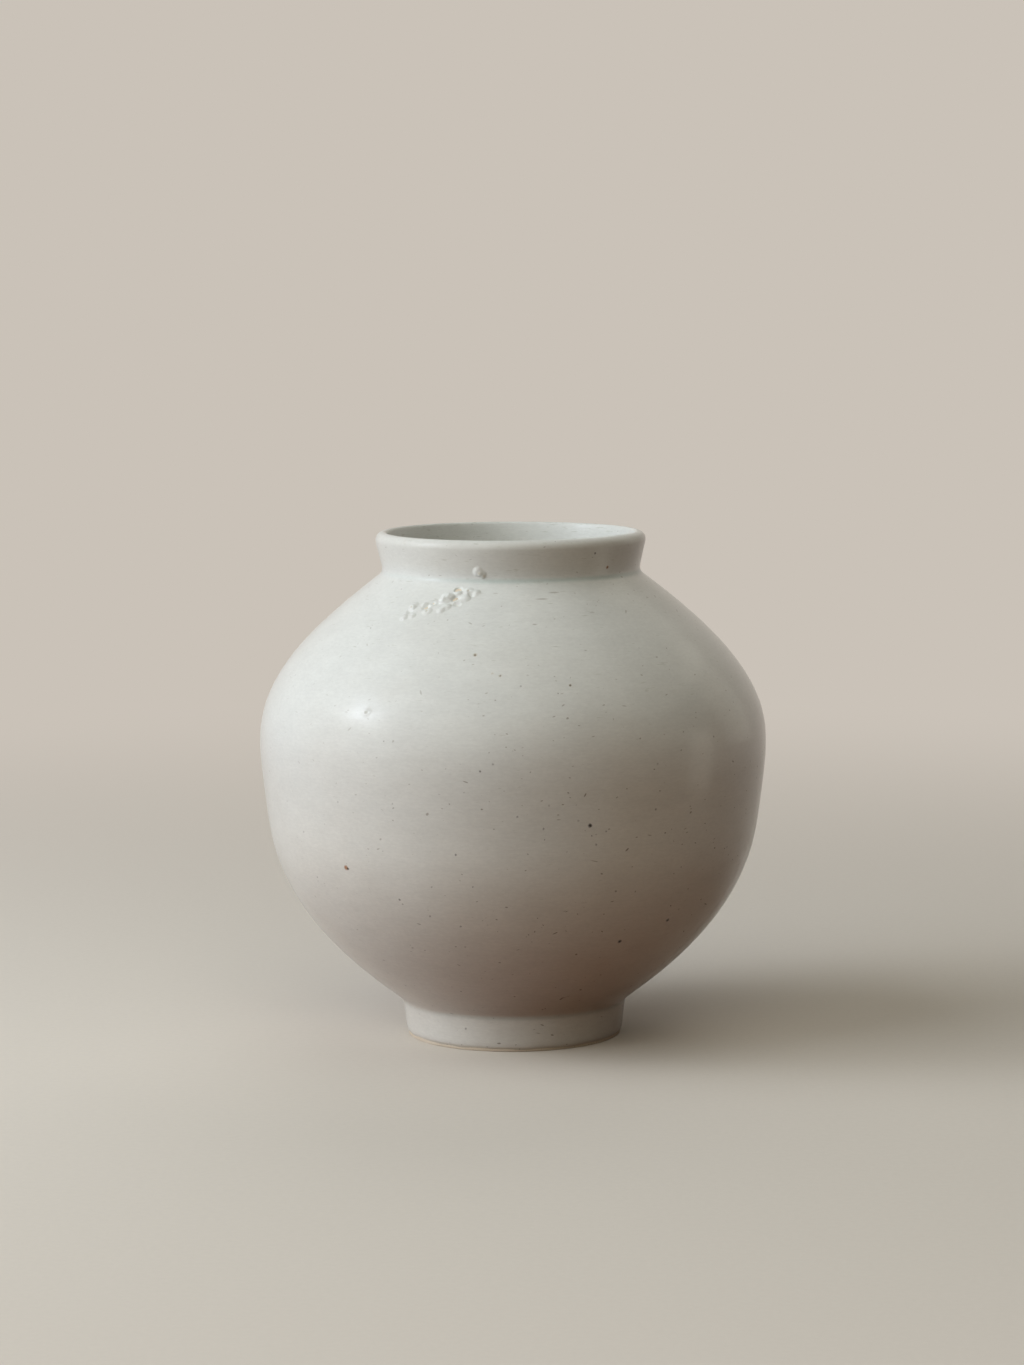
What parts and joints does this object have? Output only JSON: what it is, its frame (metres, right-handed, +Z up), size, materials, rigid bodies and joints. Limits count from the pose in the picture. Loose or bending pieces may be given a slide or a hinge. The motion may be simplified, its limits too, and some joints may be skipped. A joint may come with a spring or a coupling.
{
  "type": "moon jar",
  "caption": "Round white glazed porcelain jar of joined thrown bowls, with a short flared collar and a low foot ring, for display on a shelf or table or to hold stems or grain.",
  "frame": {"origin": "on the jar's axis, at the floor that the foot ring stands on", "axes": "+Z up along the axis the jar was thrown on, the pictured front faces -Y, +X to its right"},
  "size_m": [0.2, 0.2, 0.2],
  "materials": {
    "clay": "bare fired porcelain, buff where it shows at the foot",
    "slip": "fired slip of the same porcelain",
    "glaze": "satin white glaze with a faint blue-green where it pools, and iron specks"
  },
  "bodies": {
    "root": {"foot_ring": "clay", "foot_slip": "slip", "lower_bowl": "clay", "belly_slip": "slip", "upper_bowl": "clay", "neck_slip": "slip", "neck_collar": "clay", "outer_glaze": "glaze", "inner_glaze": "glaze", "foot_well_glaze": "glaze"}
  },
  "joints": []
}
